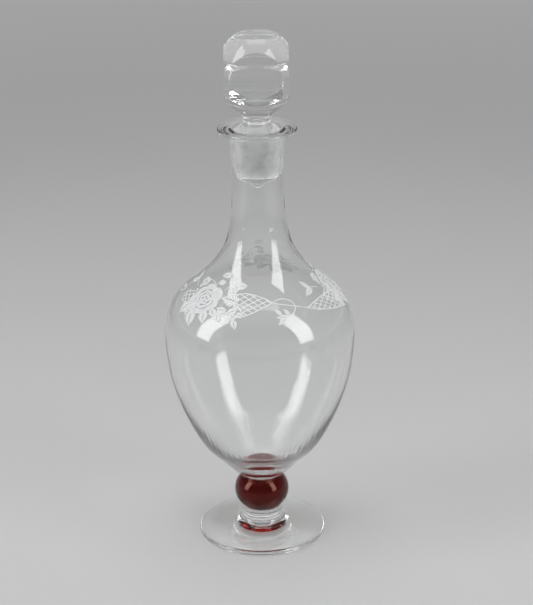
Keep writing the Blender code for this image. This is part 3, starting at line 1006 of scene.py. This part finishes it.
def sharpen_panels(piece, levels):
    """Mark the borders of the ground panels as sharp, so that each panel keeps its own light."""
    work = bmesh.new()
    work.from_mesh(piece.data)
    ground = {face.index: on_panel(face.calc_center_median(), levels) for face in work.faces}
    for edge in work.edges:
        edge.smooth = len({ground[face.index] for face in edge.link_faces}) == 1
    work.to_mesh(piece.data)
    work.free()


def edged_outline(points, edges, steps):
    """A smooth outline through points that keeps its edges at some of them."""
    outline = []
    stops = [0] + edges + [len(points) - 1]
    for start, end in zip(stops, stops[1:]):
        outline += smooth_outline(points[start:end + 1], steps)[:-1]
    outline.append(points[-1])
    return outline


class DECANTER_OT_stopper(bpy.types.Operator):
    """Build the solid stopper: panelled finial, neck, domed and ground plug, and its nub"""

    bl_idname = "decanter.stopper"
    bl_label = "Stopper"

    def execute(self, context):
        """Spin the stopper's outline and grind four panels on its finial."""
        sizes = context.scene.decanter_sizes
        finish = context.scene.decanter_finish
        plug_top = BOWL_HIGH.z - sizes.plug_below_mouth
        neck = plug_top + sizes.dome_rise
        rise = STOPPER_HIGH.z - neck
        finial = [(sizes.finial_radius * out, neck + rise * up) for out, up in FINIAL_SHARES]
        top_radius = sizes.seat_top_radius - sizes.ground_gap
        end_radius = sizes.seat_end_radius - sizes.ground_gap
        neck_radius = finial[-1][0]
        dome = [(neck_radius, neck)]
        dome += [(between(neck_radius, top_radius, out), plug_top + sizes.dome_rise * up)
                 for out, up in PLUG_DOME_SHARES]
        ground_end = plug_top - sizes.ground_length
        nub_start = ground_end - END_ROUND_DEPTH * NUB_START
        outline = edged_outline(finial, FINIAL_EDGES, steps=5) + smooth_outline(dome, steps=5)[1:]
        outline += straight_outline((top_radius, plug_top), (end_radius, ground_end), count=8)[1:]
        outline += arc_outline((NUB_RADIUS, ground_end),
                               (end_radius - NUB_RADIUS, END_ROUND_DEPTH), start=0, end=-82,
                               count=12)
        outline += arc_outline((0.0, nub_start), (NUB_RADIUS, nub_start - STOPPER_LOW.z),
                               start=-12, end=-86, count=10)
        outline.append((0.0, STOPPER_LOW.z))
        piece = turned_piece("stopper_glass", outline, sizes.sides)
        panels = smooth_outline([(sizes.finial_radius * wide, neck + rise * up)
                                 for wide, up in PANEL_SHARES], steps=4)
        block = panel_block(panels)
        pick_piece(piece)
        ground = piece.modifiers.new("ground_panels", "BOOLEAN")
        ground.operation = "INTERSECT"
        ground.solver = "EXACT"
        ground.object = block
        bpy.ops.object.modifier_apply(modifier=ground.name)
        bpy.data.objects.remove(block)
        give_finish(piece, glass_material("clear_stopper_glass", finish.clear_tint,
                                          WAVES["stopper"], (ground_end, plug_top)))
        sharpen_panels(piece, panels)
        bpy.ops.object.shade_smooth_by_angle(angle=STOPPER_SHARP_ANGLE, keep_sharp_edges=True)
        finish_piece(piece, "stopper", "clear_glass", "stopper")
        return {"FINISHED"}


def flat_motif(name, columns=6):
    """Shape a motif as a flat unit sheet, its base at the origin and its tip at y = 1.

    Each row gets its width. The bow pulls the sides back like an arc, and the drift curls the tip.
    """
    widths, bow, drift = MOTIFS[name]
    rows = len(widths) - 1
    deselect_all()
    bpy.ops.mesh.primitive_grid_add(x_subdivisions=columns, y_subdivisions=rows, size=1.0)
    motif = new_piece(name)
    bpy.ops.transform.translate(value=(0.0, 0.5, 0.0))
    for column in range(columns + 1):
        side = abs(2 * column / columns - 1)
        if bow and side:
            pick("verts", lambda vert: vert.index % (columns + 1) == column)
            bpy.ops.transform.translate(value=(0.0, -bow * side ** 2, 0.0))
    for row, width in enumerate(widths):
        pick("verts", lambda vert: vert.index // (columns + 1) == row)
        bpy.ops.transform.resize(value=(width, 1.0, 1.0), center_override=(0.0, 0.0, 0.0))
        if drift and row:
            bpy.ops.transform.translate(value=(drift * (row / rows) ** 2, 0.0, 0.0))
    bpy.ops.object.mode_set(mode="OBJECT")
    return motif


def set_down(motif, place, turn, width, length):
    """Copy a motif on to the stencil, its base at a place in millimetres, turned by an angle."""
    copy = copy_of(motif)
    copy.location = (place[0] * MILLIMETRE, place[1] * MILLIMETRE, 0.0)
    copy.rotation_euler.z = turn
    copy.scale = (width * MILLIMETRE, length * MILLIMETRE, 1.0)
    return copy


def set_along(motif, base, tip, width_share):
    """Copy a motif on to the stencil so that it runs from a base to a tip."""
    run, rise = tip[0] - base[0], tip[1] - base[1]
    length = math.hypot(run, rise)
    return set_down(motif, base, math.atan2(-run, rise), width_share * length, length)


def petal_ring(motif, centre, count, inner, outer, first):
    """Set petals of the stencil in a ring, in millimetres, with a fine gap between them."""
    petals = []
    for number in range(count):
        turn = first + math.tau * number / count
        swell = 1.0 + FLOWER_SWELL * math.cos(2 * (turn + FLOWER_SWELL_TURN))
        base = (centre[0] - math.sin(turn) * inner, centre[1] + math.cos(turn) * inner)
        spread = 2 * between(inner, outer * swell, PETAL_WIDE_PLACE) * math.sin(math.pi / count)
        petals.append(set_down(motif, base, turn, spread - PETAL_GAP, outer * swell - inner))
    return petals


def line_work(points, width):
    """Draw one engraved line through points of the stencil in millimetres, thinner at its ends."""
    deselect_all()
    bpy.ops.curve.primitive_bezier_curve_add()
    line = bpy.context.object
    bpy.ops.object.mode_set(mode="EDIT")
    bpy.ops.curve.select_all(action="SELECT")
    bpy.ops.curve.delete(type="VERT")
    for x, y in points:
        bpy.ops.curve.vertex_add(location=(x * MILLIMETRE, y * MILLIMETRE, 0.0))
    bpy.ops.curve.select_all(action="SELECT")
    bpy.ops.curve.handle_type_set(type="AUTOMATIC")
    bpy.ops.object.mode_set(mode="OBJECT")
    line.data.resolution_u = 6
    line.data.bevel_depth = width / 2
    line.data.bevel_resolution = 0
    line.data.use_fill_caps = True
    for point in (line.data.splines[0].bezier_points[0], line.data.splines[0].bezier_points[-1]):
        point.radius = LINE_END_SHARE
    bpy.ops.object.convert(target="MESH")
    return bpy.context.object


def trellis(name, lean, corners, pitch, angle, width):
    """Draw a leaning lattice of diamonds inside a convex outline of the stencil."""
    reach = max(math.hypot(x, y) for x, y in corners) * MILLIMETRE
    middle = [sum(axis) / len(corners) * MILLIMETRE for axis in zip(*corners)]
    cells = math.ceil(3 * reach / pitch)
    deselect_all()
    bpy.ops.mesh.primitive_grid_add(x_subdivisions=cells, y_subdivisions=cells, size=cells * pitch)
    lattice = new_piece(name)
    bpy.ops.transform.rotate(value=math.pi / 4, orient_axis="Z", center_override=(0.0, 0.0, 0.0))
    wide, high = math.sqrt(2) * math.cos(angle), math.sqrt(2) * math.sin(angle)
    bpy.ops.transform.resize(value=(wide, high, 1.0), center_override=(0.0, 0.0, 0.0))
    # Without a window a positive angle turns clockwise
    bpy.ops.transform.rotate(value=-math.radians(lean), orient_axis="Z",
                             center_override=(0.0, 0.0, 0.0))
    bpy.ops.transform.translate(value=(middle[0], middle[1], 0.0))
    for start, end in zip(corners, corners[1:] + corners[:1]):
        along = Vector((end[0] - start[0], end[1] - start[1], 0.0)).normalized()
        out = Vector((along.y, -along.x, 0.0))
        place = Vector((start[0] * MILLIMETRE, start[1] * MILLIMETRE, 0.0))
        if out.dot(Vector((*middle, 0.0)) - place) > 0:
            out.negate()
        bpy.ops.mesh.select_all(action="SELECT")
        bpy.ops.mesh.bisect(plane_co=place, plane_no=out, clear_outer=True)
    bpy.ops.mesh.select_all(action="SELECT")
    bpy.ops.mesh.remove_doubles(threshold=width)
    bpy.ops.object.mode_set(mode="OBJECT")
    lines = lattice.modifiers.new("engraved_lines", "WIREFRAME")
    lines.thickness = width
    lines.use_boundary = True
    lines.use_replace = True
    lines.use_even_offset = True
    bpy.ops.object.modifier_apply(modifier=lines.name)
    return lattice


def join_up(name, pieces):
    """Fix the places of flat pieces and join them into one."""
    deselect_all()
    for piece in pieces:
        piece.select_set(True)
    bpy.context.view_layer.objects.active = pieces[0]
    bpy.ops.object.transform_apply(location=True, rotation=True, scale=True)
    if len(pieces) > 1:
        bpy.ops.object.join()
    joined = bpy.context.object
    joined.name = name
    joined.data.name = name
    return joined


def press_flat(piece, proud):
    """Press raised line work down to the thickness of the frosted layer."""
    pick_piece(piece)
    height = max(vert.co.z for vert in piece.data.vertices)
    bpy.ops.object.mode_set(mode="EDIT")
    bpy.ops.mesh.select_all(action="SELECT")
    bpy.ops.transform.resize(value=(1.0, 1.0, proud / (2 * height)),
                             center_override=(0.0, 0.0, 0.0))
    bpy.ops.transform.translate(value=(0.0, 0.0, proud / 2))
    pick("edges", lambda edge: edge.calc_length() > MILLIMETRE)
    bpy.ops.mesh.subdivide(number_cuts=2)
    close_edit()


def give_body(piece, proud):
    """Give a flat sheet the thickness of the frosted layer."""
    body = piece.modifiers.new("frosted_layer", "SOLIDIFY")
    body.thickness = proud
    body.offset = 1.0
    bpy.ops.object.modifier_apply(modifier=body.name)


class ShoulderChart:
    """The shoulder's outer side by its length along the outline, to lay flat stencils on."""

    def __init__(self, sizes):
        """Measure the outline, and find the place and the slope of the stencils' zero on it."""
        lower, shoulder, mouth = bowl_outer_points(sizes)
        self.points = smooth_outline(lower + shoulder + mouth, sizes.steps)
        self.lengths = [0.0]
        for before, after in zip(self.points, self.points[1:]):
            self.lengths.append(self.lengths[-1] + math.dist(before, after))
        for index, (radius, height) in enumerate(self.points):
            if height > STENCIL_HEIGHT:
                break
        below_radius, below = self.points[index - 1]
        start, end = self.lengths[index - 1], self.lengths[index]
        along = (STENCIL_HEIGHT - below) / (height - below)
        self.middle = between(start, end, along)
        slope = (below_radius - radius) / (end - start)
        self.apex = between(below_radius, radius, along) / slope

    def at(self, reach):
        """Radius, height and outward direction of the outline at a length along it."""
        index = min(bisect_right(self.lengths, reach), len(self.lengths) - 1)
        start, end = self.lengths[index - 1], self.lengths[index]
        along = (reach - start) / (end - start)
        place = [between(before, after, along) for before, after
                 in zip(self.points[index - 1], self.points[index])]
        out = [-between(before, after, along) for before, after
               in zip(inward(self.points, index - 1), inward(self.points, index))]
        return *place, out

    def lay(self, piece, turn, lift):
        """Wrap a flat stencil round the shoulder at a turn in degrees from the front."""
        for vert in piece.data.vertices:
            down = self.apex - vert.co.y
            reach = math.hypot(vert.co.x, down)
            swing = math.atan2(vert.co.x, down)
            radius, height, out = self.at(self.middle + self.apex - reach)
            angle = math.radians(turn) + swing * reach / radius
            proud = lift + vert.co.z
            radius += out[0] * proud
            vert.co = (radius * math.sin(angle), -radius * math.cos(angle),
                       height + out[1] * proud)


def lay_round(flat, name, turns, material, layer):
    """Lay copies of one flat stencil round the shoulder and join them into one frosted piece."""
    garland = bpy.context.scene.decanter_garland
    chart = ShoulderChart(bpy.context.scene.decanter_sizes)
    lift = garland.lift + layer * (garland.proud + garland.lift) / 2
    copies = []
    for turn in turns:
        copies.append(copy_of(flat))
        chart.lay(copies[-1], turn, lift)
    piece = join_up(name, copies)
    give_finish(piece, material)
    bpy.ops.object.shade_smooth_by_angle(angle=SHARP_ANGLE)
    bpy.data.objects.remove(flat)
    return piece


class DECANTER_OT_roses(bpy.types.Operator):
    """Engrave the roses and small flowers of the garland"""

    bl_idname = "decanter.roses"
    bl_label = "Engraved Roses"

    def execute(self, context):
        """Ring petals round each flower's heart on a flat stencil and lay it on the shoulder."""
        garland = context.scene.decanter_garland
        motifs = {name: flat_motif(name) for name in ("broad", "folded", "heart", "bud")}
        flowers = [(*ROSE_CENTRE, garland.rose_radius / MILLIMETRE, ROSE_RINGS)]
        flowers += [(*flower, SMALL_FLOWER_RINGS) for flower in SMALL_FLOWERS]
        petals = []
        for x, y, reach, rings in flowers:
            for kind, count, inner, outer, first in rings:
                petals += petal_ring(motifs[kind], (x, y), count, inner * reach, outer * reach,
                                     first)
        for x, y, tip_x, tip_y in CLUSTER_BUDS:
            petals.append(set_along(motifs["bud"], (x, y), (tip_x, tip_y), BUD_WIDTH_SHARE))
        flat = join_up("rose_stencil", petals)
        give_body(flat, garland.proud)
        piece = lay_round(flat, "garland_roses", CLUSTER_TURNS,
                          engraved_material("frosted_petals", PETAL_CUT), 2)
        for motif in motifs.values():
            bpy.data.objects.remove(motif)
        finish_piece(piece, "decanter", "clear_glass")
        return {"FINISHED"}


class DECANTER_OT_leaves(bpy.types.Operator):
    """Engrave the leaves of the garland"""

    bl_idname = "decanter.leaves"
    bl_label = "Engraved Leaves"

    def execute(self, context):
        """Cut one toothed leaf flat and lay its copies round the roses and on the ribbons."""
        garland = context.scene.decanter_garland
        pair = [flat_motif(name) for name in ("leaf_right", "leaf_left")]
        for name, stencil, turns in (("garland_cluster_leaves", CLUSTER_LEAVES, CLUSTER_TURNS),
                                     ("garland_ribbon_leaves", RIBBON_LEAVES,
                                      FRONT_RIBBON_TURNS + BACK_RIBBON_TURNS)):
            leaves = [set_along(pair[number % 2], leaf[:2], leaf[2:4], leaf[4])
                      for number, leaf in enumerate(stencil)]
            flat = join_up("leaf_stencil", leaves)
            give_body(flat, garland.proud)
            piece = lay_round(flat, name, turns, engraved_material("frosted_" + name, LEAF_CUT), 1)
            finish_piece(piece, "decanter", "clear_glass")
        for leaf in pair:
            bpy.data.objects.remove(leaf)
        return {"FINISHED"}


class DECANTER_OT_ribbons(bpy.types.Operator):
    """Engrave the trellis ribbon and the stems of the garland"""

    bl_idname = "decanter.ribbons"
    bl_label = "Engraved Ribbons"

    def execute(self, context):
        """Draw lattices and lines flat, press them down and lay them on the shoulder."""
        garland = context.scene.decanter_garland
        width, pitch = garland.line_width, garland.trellis_pitch
        stencils = {
            "garland_front_ribbon": (FRONT_RIBBON_TURNS, [TRELLIS_WIDE_LEFT, TRELLIS_WIDE_RIGHT],
                                     RIBBON_STEMS),
            "garland_back_ribbon": (BACK_RIBBON_TURNS, [TRELLIS_WIDE_LEFT, TRELLIS_END],
                                    RIBBON_STEMS),
            "garland_stems": (CLUSTER_TURNS, [TRELLIS_BESIDE_ROSE], CLUSTER_STEMS),
            "garland_short_trellis": (SHORT_TRELLIS_TURNS, [TRELLIS_SHORT], []),
        }
        for name, (turns, lattices, stems) in stencils.items():
            parts = [trellis("lattice", lean, corners, pitch, garland.trellis_angle, width)
                     for lean, corners in lattices]
            parts += [line_work(points, width) for points in stems]
            for part in parts:
                press_flat(part, garland.proud)
            flat = join_up("line_stencil", parts)
            piece = lay_round(flat, name, turns, line_material("frosted_" + name), 0)
            finish_piece(piece, "decanter", "clear_glass")
        return {"FINISHED"}


def lay_floor(studio):
    """Lay the plain pale floor."""
    deselect_all()
    bpy.ops.mesh.primitive_circle_add(vertices=96, radius=studio.floor_radius, fill_type="NGON",
                                      location=(0.0, 0.0, -FUSED_GAP))
    floor = bpy.context.object
    floor.name = "studio_floor"
    material, tree, shader = new_material("pale_floor", studio.floor_colour, FLOOR_ROUGHNESS)
    shader.inputs["Specular IOR Level"].default_value = FLOOR_SHEEN
    place = object_place(tree)
    away = add_node(tree, "ShaderNodeVectorMath", {0: place}, operation="LENGTH")
    cloud = noise(tree, place, FLOOR_CLOUD_SCALE, detail=3.0)
    cloud = maths(tree, "MULTIPLY_ADD", cloud, FLOOR_CLOUD, 1.0 - FLOOR_CLOUD / 2)
    far = ramp(tree, away.outputs["Value"], *FLOOR_PALER_RANGE)
    tone = maths(tree, "MULTIPLY_ADD", far, FLOOR_PALER, cloud)
    tree.links.new(scaled_colour(tree, studio.floor_colour, tone), shader.inputs["Base Color"])
    give_finish(floor, material)


def light_studio(scene):
    """Fill the studio with soft grey light, brightest from above and from the level."""
    world = bpy.data.worlds.new("soft_studio")
    scene.world = world
    world.use_nodes = True
    tree = world.node_tree
    direction = add_node(tree, "ShaderNodeTexCoord").outputs["Generated"]
    height = add_node(tree, "ShaderNodeSeparateXYZ", {0: direction}).outputs["Z"]
    sky = add_node(tree, "ShaderNodeValToRGB", {"Fac": height})
    stops = sky.color_ramp.elements
    for middle in SKY_STOPS[1:-1]:
        stops.new(middle[0])
    for stop, (place, grey) in zip(stops, SKY_STOPS):
        stop.position = place
        stop.color = (grey, grey, grey, 1.0)
    tree.links.new(sky.outputs["Color"], tree.nodes["Background"].inputs["Color"])


def add_softbox(name, turn, climb, distance, size, spread, power):
    """Add one rectangular softbox that faces the decanter's middle."""
    turn, climb = math.radians(turn), math.radians(climb)
    away = Vector((math.sin(turn) * math.cos(climb), -math.cos(turn) * math.cos(climb),
                   math.sin(climb)))
    bpy.ops.object.light_add(type="AREA", location=Vector(SOFTBOX_AIM) + away * distance)
    lamp = bpy.context.object
    lamp.name = name
    lamp.rotation_mode = "QUATERNION"
    lamp.rotation_quaternion = (-away).to_track_quat("-Z", "Y")
    lamp.data.shape = "RECTANGLE"
    lamp.data.size, lamp.data.size_y = size
    lamp.data.energy = power
    lamp.data.spread = math.radians(spread)
    lamp.visible_camera = False


def add_camera(studio):
    """Add the camera at the photograph's angle."""
    place, target = Vector(CAMERA_PLACE), Vector(CAMERA_TARGET)
    bpy.ops.object.camera_add(location=place)
    camera = bpy.context.object
    camera.name = "studio_camera"
    camera.rotation_mode = "QUATERNION"
    level = (target - place).to_track_quat("-Z", "Y")
    camera.rotation_quaternion = level @ Euler((0.0, 0.0, CAMERA_ROLL)).to_quaternion()
    camera.data.lens = studio.focal_length
    camera.data.clip_end = 200.0
    bpy.context.scene.camera = camera


class DECANTER_OT_stage(bpy.types.Operator):
    """Set the plain pale floor, the soft studio lights and the camera"""

    bl_idname = "decanter.stage"
    bl_label = "Studio"

    def execute(self, context):
        """Add the floor, the world, the softboxes and the camera, and set how light is traced."""
        studio = context.scene.decanter_studio
        lay_floor(studio)
        light_studio(context.scene)
        for softbox in TALL_SOFTBOXES:
            add_softbox(*softbox, studio.softbox_power)
        add_softbox(*OVERHEAD_SOFTBOX, studio.overhead_power)
        add_camera(studio)
        context.scene.view_settings.view_transform = "Standard"
        cycles = context.scene.cycles
        cycles.caustics_refractive = True
        cycles.caustics_reflective = False
        cycles.max_bounces = 32
        cycles.transmission_bounces = 32
        cycles.glossy_bounces = 12
        cycles.transparent_max_bounces = 48
        return {"FINISHED"}


class DECANTER_PT_panel(bpy.types.Panel):
    """Lists the sizes, the finishes and a button for each piece"""

    bl_idname = "DECANTER_PT_panel"
    bl_label = "Glass Decanter"
    bl_space_type = "VIEW_3D"
    bl_region_type = "UI"
    bl_category = "Decanter"

    def draw(self, context):
        """Draw the settings and the buttons in the order of making."""
        for group in SETTINGS:
            box = self.layout.box()
            settings = getattr(context.scene, group)
            for name in settings.__annotations__:
                box.prop(settings, name)
        for operator in OPERATORS:
            self.layout.operator(operator.bl_idname)


SETTINGS = {
    "decanter_sizes": DecanterSizes,
    "decanter_finish": GlassFinish,
    "decanter_garland": GarlandSizes,
    "decanter_studio": StudioSettings,
}
OPERATORS = [
    DECANTER_OT_stage, DECANTER_OT_foot, DECANTER_OT_collar, DECANTER_OT_knop, DECANTER_OT_bowl,
    DECANTER_OT_stopper, DECANTER_OT_roses, DECANTER_OT_leaves, DECANTER_OT_ribbons,
]


def register():
    """Make the settings, the operators and the panel known to Blender."""
    for item in (*SETTINGS.values(), *OPERATORS, DECANTER_PT_panel):
        bpy.utils.register_class(item)
    for name, group in SETTINGS.items():
        setattr(bpy.types.Scene, name, bpy.props.PointerProperty(type=group))


def unregister():
    """Take the settings, the operators and the panel back out of Blender."""
    for name in SETTINGS:
        delattr(bpy.types.Scene, name)
    for item in (DECANTER_PT_panel, *reversed(OPERATORS), *SETTINGS.values()):
        bpy.utils.unregister_class(item)


def main():
    """Build the shader groups, the stage and every piece."""
    register()
    make_blown_waves_group()
    make_ground_band_group()
    make_handling_film_group()
    make_wheel_cut_group()
    for operator in OPERATORS:
        group, name = operator.bl_idname.split(".")
        getattr(getattr(bpy.ops, group), name)()


if __name__ == "__main__":
    main()
